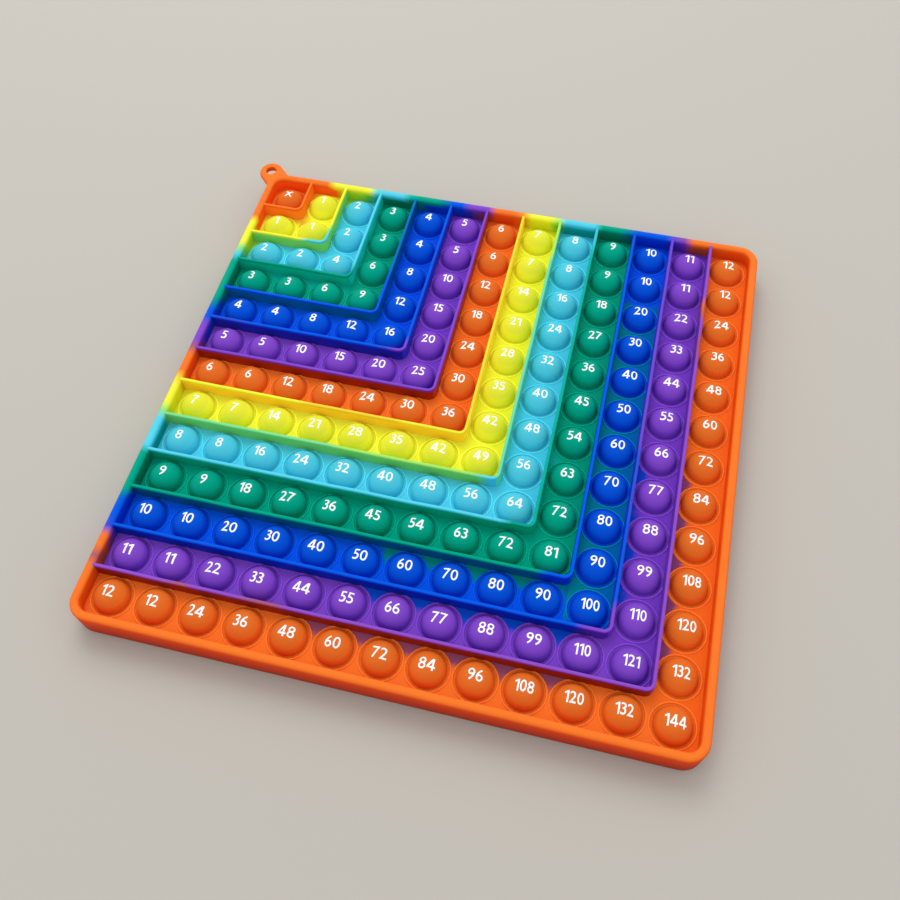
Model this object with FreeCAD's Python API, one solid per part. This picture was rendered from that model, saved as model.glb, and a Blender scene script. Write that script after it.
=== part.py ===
"""Multiplication board of push bubbles, moulded in one piece of silicone rubber.

A square board carries a grid of round bubbles. Each bubble is a thin elastic dome in the
middle of a low ring, hollow from below, on a thin web halfway up the board. L-shaped walls part
the bubbles into bands that grow from one corner, a rounded rim frames the board, and a loop
with a hole at that corner hangs it on a hook. Lengths are in millimetres, +Z is up, and the origin
is the middle of the whole outline, loop included, on the plane that the board lies on.
"""
import FreeCAD, Part
import math
import os

Vec = FreeCAD.Vector
UP = Vec(0, 0, 1)

# Grid of bubbles
cells_per_side = 13
cell_gap = 0.1

# Bubble: radius of the dome's foot, rise above the web and thickness of the skin
bubble_radius = 8.1
bubble_rise = 7.1
bubble_skin = 1.0

# Low ring round each bubble, past a flat moat, with a long climb and a steep fall outside
moat_width = 0.9
ring_climb = 0.75
ring_fall = 0.2
ring_height = 0.5

# Web that carries the bubbles
web_thickness = 1.0

# Rim round the board, with the same round nose above and below
rim_width = 4.0
rim_height = 16.4
rim_inner_corner = 5.5
rim_nose = min(1.8, 0.45 * rim_width)
border_width = 0.5

# L-shaped walls between the bands of bubbles
wall_over_bubble = 0.3
wall_top_width = 1.5
wall_foot_width = 2.0
wall_bend_radius = 3.25
wall_top_round = min(0.5, 0.45 * wall_top_width)

# Hanging loop at the far left corner, its top flush with the rim's and its neck sunk into it
loop_radius = 6.5
loop_hole_radius = 2.8
loop_thickness = 3.3
loop_stand_off = 0.8
loop_neck_radius = 3.0
loop_neck_sunk = 0.15
loop_upper_round = min(rim_nose, 0.6 * loop_thickness)
loop_lower_round = min(1.0, 0.34 * loop_thickness)
loop_hole_round = min(0.6, 0.25 * loop_thickness, 0.25 * (loop_radius - loop_hole_radius))

# How near two measures are to count as the same
same_place = 0.001

# Sizes that follow
ring_inner = bubble_radius + moat_width
ring_outer = ring_inner + ring_climb + ring_fall
pitch = 2 * ring_outer + cell_gap
grid_half = cells_per_side * pitch / 2
rim_inner = grid_half + border_width
rim_outer = rim_inner + rim_width
rim_middle = rim_inner + rim_width / 2
rim_middle_corner = rim_inner_corner + rim_width / 2
web_middle = rim_height / 2
web_top = web_middle + web_thickness / 2
web_bottom = web_middle - web_thickness / 2
bubble_top = web_top + bubble_rise
dome_radius = (bubble_radius ** 2 + bubble_rise ** 2) / (2 * bubble_rise)
dome_centre = bubble_top - dome_radius
wall_top = bubble_top + wall_over_bubble
loop_bottom = rim_height - loop_thickness
loop_centre = Vec(-rim_outer - loop_stand_off, rim_outer + loop_stand_off, 0)
neck_face = rim_outer - loop_neck_sunk
outline_shift = (loop_stand_off + loop_radius) / 2


def rounded_block(half, corner, low, high):
    """Upright block with a square plan and round corners, between two heights."""
    block = Part.makeBox(2 * half, 2 * half, high - low, Vec(-half, -half, low))
    upright = [edge for edge in block.Edges if edge.BoundBox.ZLength > (high - low) / 2]
    return block.makeFillet(corner, upright)


def make_rim():
    """Frame round the board, its upper and lower edges rounded to a nose."""
    outside = rounded_block(rim_outer, rim_inner_corner + rim_width, 0, rim_height)
    inside = rounded_block(rim_inner, rim_inner_corner, -rim_width, rim_height + rim_width)
    frame = outside.cut(inside)
    level = [edge for edge in frame.Edges if edge.BoundBox.ZLength < same_place]
    return frame.makeFillet(rim_nose, level)


def make_web():
    """Thin plate that spans the rim, halfway up."""
    return rounded_block(rim_middle, rim_middle_corner, web_bottom, web_top)


def wall_section():
    """Section of a wall in the XZ plane: drafted sides and a softly rounded top."""
    foot = wall_foot_width / 2
    side = wall_top_width / 2
    flat = side - wall_top_round
    shoulder = wall_top - wall_top_round
    bulge = wall_top_round * math.sqrt(0.5)
    left_foot = Vec(-foot, 0, web_middle)
    left_side = Vec(-side, 0, shoulder)
    left_bulge = Vec(-flat - bulge, 0, shoulder + bulge)
    left_top = Vec(-flat, 0, wall_top)
    right_top = Vec(flat, 0, wall_top)
    right_bulge = Vec(flat + bulge, 0, shoulder + bulge)
    right_side = Vec(side, 0, shoulder)
    right_foot = Vec(foot, 0, web_middle)
    outline = [
        Part.makeLine(left_foot, left_side),
        Part.Arc(left_side, left_bulge, left_top).toShape(),
        Part.makeLine(left_top, right_top),
        Part.Arc(right_top, right_bulge, right_side).toShape(),
        Part.makeLine(right_side, right_foot),
        Part.makeLine(right_foot, left_foot),
    ]
    return Part.Face(Part.Wire(outline))


def make_wall(band):
    """Wall on the far side of a band: from the left rim, round its bend, to the far rim."""
    line = band * pitch - grid_half
    bend_centre = Vec(line - wall_bend_radius, wall_bend_radius - line, 0)
    arm_length = rim_middle + bend_centre.x
    upright_start = wall_section()
    upright_start.translate(Vec(line, bend_centre.y, 0))
    level_start = upright_start.copy()
    level_start.rotate(bend_centre, UP, -90)
    bend = upright_start.revolve(bend_centre, UP, -90)
    upright_arm = upright_start.extrude(Vec(0, arm_length, 0))
    level_arm = level_start.extrude(Vec(-arm_length, 0, 0))
    return bend.multiFuse([upright_arm, level_arm]).removeSplitter()


def make_bubble():
    """Solid dome with its ring, round the Z axis and down into the web."""
    foot_angle = math.asin((web_top - dome_centre) / dome_radius)
    side_angle = (foot_angle + math.pi / 2) / 2
    web_point = Vec(0, 0, web_middle)
    web_edge = Vec(ring_outer, 0, web_middle)
    ring_foot = Vec(ring_outer, 0, web_top)
    ring_crest = Vec(ring_outer - ring_fall, 0, web_top + ring_height)
    moat_edge = Vec(ring_inner, 0, web_top)
    dome_foot = Vec(bubble_radius, 0, web_top)
    dome_side = Vec(math.cos(side_angle), 0, math.sin(side_angle)) * dome_radius + UP * dome_centre
    dome_top = Vec(0, 0, bubble_top)
    outline = [
        Part.makeLine(web_point, web_edge),
        Part.makeLine(web_edge, ring_foot),
        Part.makeLine(ring_foot, ring_crest),
        Part.makeLine(ring_crest, moat_edge),
        Part.makeLine(moat_edge, dome_foot),
        Part.Arc(dome_foot, dome_side, dome_top).toShape(),
        Part.makeLine(dome_top, web_point),
    ]
    return Part.Face(Part.Wire(outline)).revolve(Vec(0, 0, 0), UP, 360)


def make_hollow():
    """Ball whose upper part is the hollow inside one bubble."""
    return Part.makeSphere(dome_radius - bubble_skin, Vec(0, 0, dome_centre))


def on_every_cell(shape):
    """Copies of a shape, one on each cell of the grid, row by row from the far left corner."""
    middle = (cells_per_side - 1) / 2
    copies = []
    for row in range(cells_per_side):
        for column in range(cells_per_side):
            copy = shape.copy()
            copy.translate(Vec((column - middle) * pitch, (middle - row) * pitch, 0))
            copies.append(copy)
    return copies


def mirrored(point):
    """The point on the other side of the diagonal that the loop lies on."""
    return Vec(-point.y, -point.x, point.z)


def loop_plan():
    """Plan of the loop: half a disc, straight sides, and flares that run into the rim."""
    outwards = Vec(-1, 1, 0).normalize()
    across = Vec(1, 1, 0).normalize()
    to_rim = Vec(0, -1, 0)
    side_start = loop_centre + across * loop_radius
    side_meets_rim = Vec(loop_radius * math.sqrt(2) - neck_face, neck_face, 0)
    flare_reach = loop_neck_radius * math.tan(math.pi / 8)
    flare_centre = side_meets_rim + Vec(flare_reach, loop_neck_radius, 0)
    flare_start = side_meets_rim + outwards * flare_reach
    flare_middle = flare_centre + (to_rim - across).normalize() * loop_neck_radius
    flare_end = flare_centre + to_rim * loop_neck_radius
    disc_tip = loop_centre + outwards * loop_radius
    inner_corner = Vec(-rim_inner, rim_inner, 0)
    outline = [
        Part.Arc(flare_end, flare_middle, flare_start).toShape(),
        Part.makeLine(flare_start, side_start),
        Part.Arc(side_start, disc_tip, mirrored(side_start)).toShape(),
        Part.makeLine(mirrored(side_start), mirrored(flare_start)),
        Part.Arc(mirrored(flare_start), mirrored(flare_middle), mirrored(flare_end)).toShape(),
        Part.makeLine(mirrored(flare_end), inner_corner),
        Part.makeLine(inner_corner, flare_end),
    ]
    return Part.Face(Part.Wire(outline))


def level_arcs(shape, height, radii):
    """Round edges of a shape that lie level at one height and have one of some radii."""
    found = []
    for edge in shape.Edges:
        box = edge.BoundBox
        level = box.ZLength < same_place and abs(box.ZMin - height) < same_place
        if level and isinstance(edge.Curve, Part.Circle):
            if any(abs(edge.Curve.Radius - radius) < same_place for radius in radii):
                found.append(edge)
    return found


def make_loop():
    """Flat hanging loop, flush with the top of the rim, with round edges and a through hole.

    A fillet on its arcs runs on along the straight sides between them.
    """
    plate = loop_plan()
    plate.translate(UP * loop_bottom)
    hole = Part.makeCylinder(loop_hole_radius, loop_thickness, loop_centre + UP * loop_bottom)
    loop = plate.extrude(UP * loop_thickness).cut(hole)
    edge_radii = [loop_radius, loop_neck_radius]
    loop = loop.makeFillet(loop_upper_round, level_arcs(loop, rim_height, edge_radii))
    loop = loop.makeFillet(loop_lower_round, level_arcs(loop, loop_bottom, edge_radii))
    hole_edges = level_arcs(loop, rim_height, [loop_hole_radius])
    hole_edges += level_arcs(loop, loop_bottom, [loop_hole_radius])
    loop = loop.makeFillet(loop_hole_round, hole_edges)
    return loop.cut(rounded_block(rim_middle, rim_middle_corner, 0, 2 * rim_height))


def make_board():
    """The whole moulding, about the middle of the grid."""
    walls = [make_wall(band) for band in range(1, cells_per_side)]
    frame = make_rim().multiFuse([make_web(), make_loop()] + walls).removeSplitter()
    board = frame.multiFuse(on_every_cell(make_bubble()))
    return board.cut(on_every_cell(make_hollow()))


def main():
    """Build the board, bring its outline's middle to the origin and write it out."""
    os.makedirs("parts", exist_ok=True)
    board = make_board()
    board.translate(Vec(outline_shift, -outline_shift, 0))
    board.exportStep("parts/silicone_board.step")


main()
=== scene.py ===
"""Looks of a multiplication board of push bubbles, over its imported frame.

The board is one moulding of soft silicone in thirteen bands of colour. It is dressed here as a
sheet of bubbles, the L-shaped walls between the bands, a rim, a hanging loop and the numbers
printed on the bubbles. Shapes are built in millimetres about the middle of the grid, with +Z up,
and are brought to the frame's metres when they are finished.
"""

import logging
import math
from dataclasses import dataclass
from enum import Enum
from functools import cached_property
from typing import Callable, Sequence

import bmesh
import bpy
from mathutils import Matrix, Vector, noise


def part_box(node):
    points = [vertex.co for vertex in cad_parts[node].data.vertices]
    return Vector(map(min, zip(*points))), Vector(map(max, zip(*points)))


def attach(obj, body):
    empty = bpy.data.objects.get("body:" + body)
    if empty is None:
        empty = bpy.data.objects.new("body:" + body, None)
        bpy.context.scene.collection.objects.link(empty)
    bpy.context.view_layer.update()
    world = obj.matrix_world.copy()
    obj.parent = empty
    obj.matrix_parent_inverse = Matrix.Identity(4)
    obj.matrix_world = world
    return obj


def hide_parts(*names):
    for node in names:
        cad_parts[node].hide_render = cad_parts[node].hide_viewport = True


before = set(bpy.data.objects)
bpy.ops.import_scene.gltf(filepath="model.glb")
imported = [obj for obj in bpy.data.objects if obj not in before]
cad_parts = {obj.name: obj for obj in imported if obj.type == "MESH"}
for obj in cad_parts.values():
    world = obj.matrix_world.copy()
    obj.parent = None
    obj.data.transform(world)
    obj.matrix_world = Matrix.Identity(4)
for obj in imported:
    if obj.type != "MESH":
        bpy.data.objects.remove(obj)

LOG = logging.getLogger("board")
NODE = "silicone_board"
MM = 0.001
UP = Vector((0.0, 0.0, 1.0))

# Millimetres within which two measures count as the same
NEAR = 0.01

# Least light of a channel in a mix of pigments, so that none of them turns it off
DARKEST = 0.001


class Pigment(Enum):
    """Colours that the silicone is mixed in, as sRGB values from 0 to 255, inner band first."""

    ORANGE = (234, 114, 42)
    YELLOW = (228, 229, 58)
    CYAN = (80, 199, 222)
    GREEN = (2, 152, 126)
    BLUE = (8, 84, 214)
    PURPLE = (124, 70, 190)


class Arm(Enum):
    """The two arms of a band, which meet at its corner on the board's diagonal."""

    SIDE = "runs from the far rim to the near one"
    ACROSS = "runs from the left rim to the right one"


@dataclass(frozen=True)
class Run:
    """A stretch of wall or rim in one colour, which may be a mix of two bands, with painted light
    or shade.
    """

    until: float
    band: float
    # Painted light: above 1 the run is painted brighter, below 1 painted shade darkens and deepens
    # it
    light: float = 1.0


def rest(band: float, light: float = 1.0) -> Run:
    """The last run of a wall or rim, up to its end."""
    return Run(math.inf, band, light)


@dataclass(frozen=True)
class Leak:
    """A stretch of floor where the band inside has run under its wall into this one."""

    band: int
    arm: Arm
    start: float
    until: float
    reach: float
    strength: float = 1.0
    on_crest: float = 0.0
    light: float = 0.8


def mixed(inner: Vector, outer: Vector, share: float) -> Vector:
    """Linear colour of two pigments stirred together, where each keeps out its own light.

    Args:
        inner: Colour of the first.
        outer: Colour of the second.
        share: Share of the second, from 0 to 1.

    Returns:
        Red, green and blue.
    """
    if share <= 0 or share >= 1:
        return (outer if share >= 1 else inner).copy()
    pairs = zip(inner, outer)
    return Vector([max(one, DARKEST) ** (1 - share) * max(two, DARKEST) ** share
                   for one, two in pairs])


def linear(value: float) -> float:
    """Linear light of one sRGB channel.

    Args:
        value: The channel from 0 to 255.

    Returns:
        The same light on a linear scale from 0 to 1.
    """
    share = value / 255
    return share / 12.92 if share <= 0.04045 else ((share + 0.055) / 1.055) ** 2.4


LIGHTS = tuple(Vector([linear(channel) for channel in pigment.value]) for pigment in Pigment)


def soft_step(value: float) -> float:
    """Rise smoothly from 0 at 0 to 1 at 1."""
    share = min(max(value, 0.0), 1.0)
    return share * share * (3 - 2 * share)


def faded(past: float, width: float) -> float:
    """Share of a soft change that is done at a distance past its middle."""
    return soft_step(past / width + 0.5)


@dataclass(frozen=True)
class BoardPlan:
    """Sizes of the moulding that its parts share, in millimetres."""

    cells: int = 13
    pitch: float = 20.0
    rim_inner: float = 130.5
    rim_outer: float = 134.5
    rim_inner_corner: float = 5.5
    rim_nose: float = 1.8
    web_top: float = 8.7
    web_bottom: float = 7.7
    bubble_radius: float = 8.1
    bubble_top: float = 15.8
    bubble_skin: float = 1.0
    moat_width: float = 0.9
    ring_outer: float = 9.95
    ring_height: float = 0.5
    wall_top: float = 16.1

    @property
    def half(self) -> float:
        """Half the width of the grid."""
        return self.cells * self.pitch / 2

    @property
    def ring_inner(self) -> float:
        """Radius at which a bubble's moat ends and its ring begins."""
        return self.bubble_radius + self.moat_width

    @property
    def rim_middle(self) -> float:
        """Distance from the middle of the board to the middle of the rim."""
        return (self.rim_inner + self.rim_outer) / 2

    @property
    def rim_middle_corner(self) -> float:
        """Corner radius along the middle of the rim."""
        return self.rim_inner_corner + (self.rim_outer - self.rim_inner) / 2

    @property
    def corner_centre(self) -> float:
        """Distance along X and Y from the middle of the board to the middle of a round corner."""
        return self.rim_middle - self.rim_middle_corner

    @property
    def web_middle(self) -> float:
        """Height halfway through the web."""
        return (self.web_top + self.web_bottom) / 2

    @property
    def dome_radius(self) -> float:
        """Radius of the ball that a bubble is the cap of."""
        rise = self.bubble_top - self.web_top
        return (self.bubble_radius ** 2 + rise ** 2) / (2 * rise)

    @property
    def dome_centre(self) -> float:
        """Height of the middle of that ball."""
        return self.bubble_top - self.dome_radius

    @cached_property
    def rim_height(self) -> float:
        """Height of the whole board, from the frame."""
        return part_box(NODE)[1].z / MM

    @property
    def centre(self) -> Vector:
        """Middle of the grid in the frame, in metres: the loop puts it beside the origin."""
        low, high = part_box(NODE)
        return Vector((high.x - self.rim_outer * MM, low.y + self.rim_outer * MM, 0.0))

    def cell_centre(self, column: int, row: int) -> Vector:
        """Middle of a cell.

        Args:
            column: Place along a row, from the left.
            row: Place down a column, from the far side.

        Returns:
            The cell's middle, at height 0.
        """
        middle = (self.cells - 1) / 2
        return Vector(((column - middle) * self.pitch, (middle - row) * self.pitch, 0.0))

    def wall_line(self, band: int) -> float:
        """Distance from the middle of the grid to the wall inside a band, right and near."""
        return band * self.pitch - self.half


PLAN = BoardPlan()


@dataclass(frozen=True)
class DyeAndPaintedLight:
    """How the bands' pigments run into each other in the moulding, and the light and shade painted
    into their colours.
    """

    softness: float = 5.0
    leak_softness: float = 2.6
    wander: float = 2.5
    wander_scale: float = 0.13
    crest: float = 9.4
    # Painted shade: how much steep faces are darkened and deepened, from what steepness, and how
    # much the side arms' floors are
    depth: float = 0.32
    steep_from: float = 0.35
    side_floor_shade: float = 0.4
    floor_margin: float = 0.05
    moat_margin: float = 0.1
    # Painted shade of runs that keep less than their light
    run_shade_depth: float = 4.0
    # Painted shade on the rim's outer side: deeper on the near and right sides, darker towards its
    # foot
    rim_near_shade_depth: float = 1.5
    rim_far_shade_depth: float = 0.4
    rim_side_from: float = 3.0
    rim_foot: float = 0.5
    rim_lit_above: float = 12.0
    rim_inside_from: float = 2.0
    rim_inside_over: float = 1.5
    own_below_top: float = 0.6
    face_below_top: float = 1.8
    # Painted light along a bubble's radius: shade at the dome's foot and in the moat, a highlight
    # on the ring
    painted_bubble_lights: Sequence[Sequence[float]] = (
        (0.0, 0.97), (4.0, 0.98), (5.8, 1.0), (7.1, 1.06), (7.9, 1.0), (8.1, 0.8), (8.9, 0.82),
        (9.05, 0.95), (9.2, 1.3), (9.45, 1.5), (9.8, 1.45), (9.95, 1.1),
    )
    # Painted light of the domes, one value for each pigment, and brighter towards their foot
    dome_light: Sequence[float] = (0.83, 0.91, 0.91, 1.0, 0.9, 1.0)
    dome_edge_light: Sequence[float] = (1.15, 1.2, 1.14, 1.0, 1.0, 1.0)
    dome_edge_from: float = 4.5
    rim_far: Sequence[Run] = (
        Run(32, 0), Run(56, 1), Run(76, 2), Run(97, 3), Run(109, 4), Run(124, 5), Run(141, 6),
        Run(160, 7), Run(180, 8), Run(198, 9), Run(220, 10), Run(228, 11), rest(12),
    )
    rim_left: Sequence[Run] = (
        Run(32, 0), Run(53, 1), Run(58, 2), Run(92, 3), Run(103, 4), Run(120, 5), Run(139, 6),
        Run(160, 7), Run(180, 8), Run(205, 9), Run(221, 10), Run(225, 11), Run(233, 12),
        Run(240, 11.5), rest(12),
    )
    # Runs whose light is not 1 here and below carry painted light or shade
    walls_side: Sequence[Sequence[Run]] = (
        (rest(0),),
        (Run(30, 1), rest(2)),
        (Run(53, 2), rest(3)),
        (Run(52, 3.6), rest(4)),
        (Run(92, 4), rest(5)),
        (rest(5),),
        (rest(6.85),),
        (Run(24, 7.35), rest(7.78)),
        (Run(16, 8.2), rest(8.75)),
        (rest(10),),
        (Run(130, 10.9), Run(166, 10.6), Run(208, 10.25), rest(11)),
        (Run(36, 11.05, 1.15), Run(46, 11.8), Run(58, 11.05, 1.1), Run(74, 11.25),
         rest(11.05, 1.1)),
    )
    walls_across: Sequence[Sequence[Run]] = (
        (rest(0),),
        (Run(30, 1), rest(2)),
        (rest(3),),
        (rest(4),),
        (Run(4, 4), Run(18, 4.5), Run(91, 4), rest(5)),
        (rest(5),),
        (Run(60, 7), Run(110, 6.8), rest(6.95)),
        (Run(84, 7.62), Run(150, 7.4), rest(8)),
        (Run(168, 8), rest(9)),
        (Run(187, 9), rest(10)),
        (Run(208, 10), rest(11)),
        (Run(35, 11.05, 1.2), Run(44, 11.4), Run(70, 11.05, 1.15), Run(84, 11.35),
         rest(11.05, 1.1)),
    )
    # Inside of the rim; runs whose light is not 1 carry painted light or shade
    rim_inside: Sequence[Run] = (
        Run(36, 0, 1.2), Run(54, 1.1), Run(60, 2.3), Run(86, 3), Run(104, 3.9), Run(112, 4.6),
        Run(120, 5.3), Run(140, 6), Run(160, 7), Run(180, 8.5), Run(199, 9), Run(220, 10),
        Run(228, 11), Run(238, 11.7), rest(12),
    )
    # Outer faces of the walls, whose light values paint shade or light onto them
    outer_side: Sequence[Sequence[Run]] = (
        (rest(0.22, 1.22),),
        (rest(1.47, 1.1),),
        (rest(2.45, 1.5),),
        (rest(3.62),),
        (rest(4.7),),
        (rest(5.7, 0.9),),
        (rest(6.8, 1.3),),
        (rest(7.78, 1.15),),
        (rest(9, 1.4),),
        (rest(9.85, 1.15),),
        (rest(11, 1.15),),
        (rest(11.3, 1.2),),
    )
    outer_across: Sequence[Sequence[Run]] = (
        (rest(0.22, 1.22),),
        (rest(1.47, 1.1),),
        (rest(2.85, 1.6),),
        (rest(3.47),),
        (rest(4.75, 0.85),),
        (rest(5.85, 0.68),),
        (rest(6.75, 1.25),),
        (Run(153, 7.55), rest(8)),
        (rest(9, 1.35),),
        (Run(187, 9.45, 0.92), rest(10, 0.9)),
        (Run(208, 10.5, 0.85), rest(11, 0.9)),
        (rest(11.85, 0.62),),
    )
    leaks: Sequence[Leak] = (
        Leak(1, Arm.SIDE, -10, 40, 3, 0.35, 0.0, 1.0),
        Leak(1, Arm.ACROSS, -10, 40, 3, 0.35, 0.0, 1.0),
        Leak(2, Arm.SIDE, -10, 6, 9, 0.7),
        Leak(2, Arm.ACROSS, -10, 6, 9, 0.7),
        Leak(3, Arm.ACROSS, 10, 62, 6, 0.35),
        Leak(9, Arm.SIDE, 128, 152, 4.6, 0.5),
        Leak(10, Arm.SIDE, 40, 215, 30, 0.42, 0.75, 0.9),
        Leak(10, Arm.SIDE, 40, 215, 9, 0.5, 0.0, 0.9),
        Leak(10, Arm.ACROSS, 118, 200, 7.5, 0.9, 0.3),
        Leak(11, Arm.SIDE, 130, 205, 4.6, 0.75),
        Leak(11, Arm.ACROSS, 112, 205, 7, 0.9),
        Leak(12, Arm.SIDE, 132, 232, 6, 0.75),
        Leak(12, Arm.ACROSS, 86, 208, 6.5, 0.66),
    )

    def shade(self, band: float) -> Vector:
        """Linear colour of a band, or of a mix of two.

        Args:
            band: The band's number, where 7.5 is half band 7 and half band 8.

        Returns:
            Red, green and blue.
        """
        below = math.floor(band)
        return mixed(LIGHTS[below % len(LIGHTS)], LIGHTS[(below + 1) % len(LIGHTS)], band - below)

    def painted_shade(self, colour: Vector, steepness: float) -> Vector:
        """A colour darkened and deepened by painted shade, as on a steep face."""
        return Vector([channel ** (1 + self.depth * steepness) for channel in colour])

    def tone(self, radius: float) -> float:
        """Painted light and shade of a bubble: a little painted light down its dome, painted shade
        at its foot and in its moat, and a painted highlight on its ring.

        Args:
            radius: Distance from the bubble's middle.

        Returns:
            Its share of the colour's own light.
        """
        for (near, dark), (far, light) in zip(self.painted_bubble_lights, self.painted_bubble_lights[1:]):
            if radius < far:
                return dark + (light - dark) * (radius - near) / (far - near)
        return self.painted_bubble_lights[-1][1]

    def stray(self, place: Vector) -> float:
        """How far a change of colour wanders at a place, in millimetres."""
        return self.wander * noise.noise(place * self.wander_scale)

    def of_run(self, run: Run) -> Vector:
        """Colour of a run with its painted light: brighter above a light of 1, darker and deeper by
        painted shade below it.
        """
        depth = self.run_shade_depth * max(1 - run.light, 0.0)
        return self.painted_shade(self.shade(run.band), depth) * run.light

    def along(self, runs: Sequence[Run], distance: float, place: Vector) -> Vector:
        """Colour at a distance along some runs, soft where one changes to the next.

        Args:
            runs: The stretches, in order.
            distance: Distance along them from the far or the left rim.
            place: The point itself, for the wander of the changes.

        Returns:
            Red, green and blue.
        """
        colour = self.of_run(runs[0])
        wandered = distance + self.stray(place)
        for run, following in zip(runs, runs[1:]):
            share = faded(wandered - run.until, self.softness)
            if share <= 0:
                break
            colour = mixed(colour, self.of_run(following), share)
        return colour

    def of_sheet(self, face: Vector, place: Vector) -> Vector:
        """Colour of the sheet of bubbles at a corner of a face, with its painted light and shade.

        Args:
            face: Middle of the face.
            place: The corner of it.

        Returns:
            Red, green and blue.
        """
        last = PLAN.cells - 1
        column = min(max(int((face.x + PLAN.half) / PLAN.pitch), 0), last)
        row = min(max(int((PLAN.half - face.y) / PLAN.pitch), 0), last)
        band = max(column, row)
        centre = PLAN.cell_centre(column, row)
        if column == row and self.beyond_bend(place - centre):
            return self.shade(min(band + 1, last))
        colour = self.shade(band)
        radius = (place.xy - centre.xy).length
        on_floor = (face.xy - centre.xy).length > PLAN.ring_outer - self.floor_margin
        # Painted shade in the moat and a painted highlight on the ring
        tone = 1.0 if on_floor else self.tone(radius)
        # Painted light of the dome
        if radius < PLAN.ring_inner - self.moat_margin:
            tone *= self.painted_dome_light(band % len(LIGHTS), radius)
        arm = Arm.SIDE if column >= row else Arm.ACROSS
        along = PLAN.half - place.y if arm is Arm.SIDE else place.x + PLAN.half
        inwards = place.x if arm is Arm.SIDE else -place.y
        from_wall = inwards - PLAN.wall_line(band)
        above = place.z > PLAN.web_middle
        for leak in self.leaks:
            here = above and leak.band == band and leak.arm is arm
            if here and (on_floor or radius > self.crest):
                stray = self.stray(place)
                inside = faded(along - leak.start + stray, self.softness)
                inside *= faded(leak.until - along + stray, self.softness)
                inside *= faded(leak.reach - from_wall + stray, self.leak_softness)
                strength = leak.strength if on_floor else leak.on_crest
                colour = mixed(colour, self.shade(band - 1) * leak.light, inside * strength)
        # Painted shade that darkens and deepens the floors of the side arms
        if on_floor:
            colour = self.painted_shade(colour, self.side_floor_shade * faded(place.x + place.y, PLAN.pitch))
        return colour * tone

    def painted_dome_light(self, pigment: int, radius: float) -> float:
        """Painted light of a dome, brighter towards its foot for the pale pigments.

        Args:
            pigment: Place of its pigment among the six.
            radius: Distance from the dome's middle.

        Returns:
            Its share of the pigment's own light.
        """
        edge = (radius - self.dome_edge_from) / (PLAN.bubble_radius - self.dome_edge_from)
        painted_glow = 1 + (self.dome_edge_light[pigment] - 1) * soft_step(edge)
        return self.dome_light[pigment] * painted_glow

    def beyond_bend(self, place: Vector) -> bool:
        """Whether a place in a cell on the diagonal lies past the bend of the wall round it.

        Args:
            place: The place from the middle of the cell.

        Returns:
            True where the next band has begun.
        """
        bend = PLAN.pitch / 2 - Walls.bend_radius
        across = place.x - bend
        near = -place.y - bend
        return min(across, near) > 0 and math.hypot(across, near) > Walls.bend_radius

    def of_wall(self, band: int, place: Vector) -> Vector:
        """Colour of a wall at a point of it.

        Args:
            band: The band that the wall stands inside of.
            place: The point.

        Returns:
            Red, green and blue.
        """
        right = place.x
        near = -place.y
        line = PLAN.wall_line(band)
        bend = line - Walls.bend_radius
        if right > bend and near > bend:
            outwards = math.hypot(right - bend, near - bend) - Walls.bend_radius
        else:
            outwards = max(right, near) - line
        side = right > near
        along = (near if side else right) + PLAN.half
        own = self.walls_side if side else self.walls_across
        outer = self.outer_side if side else self.outer_across
        # The runs of the top and the outer face carry painted light and shade
        top = self.along(own[band - 1], along, place)
        face = self.along(outer[band - 1], along, place)
        below_top = PLAN.wall_top - self.own_below_top - place.z
        share = soft_step(below_top / (self.face_below_top - self.own_below_top))
        return mixed(top, face if outwards > 0 else self.shade(band - 1), share)

    def of_rim(self, face: Vector, place: Vector) -> Vector:
        """Colour of the rim at a point of it, with painted shade that darkens and deepens down its
        outer side.

        Args:
            face: Middle of the face, which tells the side of the board.
            place: The point.

        Returns:
            Red, green and blue.
        """
        corner = PLAN.corner_centre
        past_corner = math.hypot(max(abs(face.x) - corner, 0.0), max(abs(face.y) - corner, 0.0))
        out = past_corner > PLAN.rim_middle_corner
        # Painted shade on the outer side: darker towards its foot and deeper below its top
        shade = self.rim_foot + (1 - self.rim_foot) * min(place.z / self.rim_lit_above, 1.0)
        down_side = soft_step((PLAN.rim_height - place.z) / self.rim_side_from)
        far = face.y > abs(face.x)
        if not far and -face.x <= abs(face.y):
            last = self.shade(PLAN.cells - 1)
            return self.painted_shade(last, self.rim_near_shade_depth * down_side) * shade if out else last
        along = PLAN.half + (place.x if far else -place.y)
        top = self.along(self.rim_far if far else self.rim_left, along, place)
        if out:
            return self.painted_shade(top, self.rim_far_shade_depth * down_side) * shade
        inside = self.along(self.rim_inside, along, place)
        below = PLAN.rim_height - self.rim_inside_from - place.z
        return mixed(top, inside, soft_step(below / self.rim_inside_over))


DYE_AND_PAINTED_LIGHT = DyeAndPaintedLight()


def blank(name: str) -> tuple[bpy.types.Material, bpy.types.Node]:
    """A new material that is still plain.

    Args:
        name: The material's name.

    Returns:
        The material and its shader.
    """
    material = bpy.data.materials.new(name)
    material.use_nodes = True
    return material, material.node_tree.nodes["Principled BSDF"]


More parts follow.
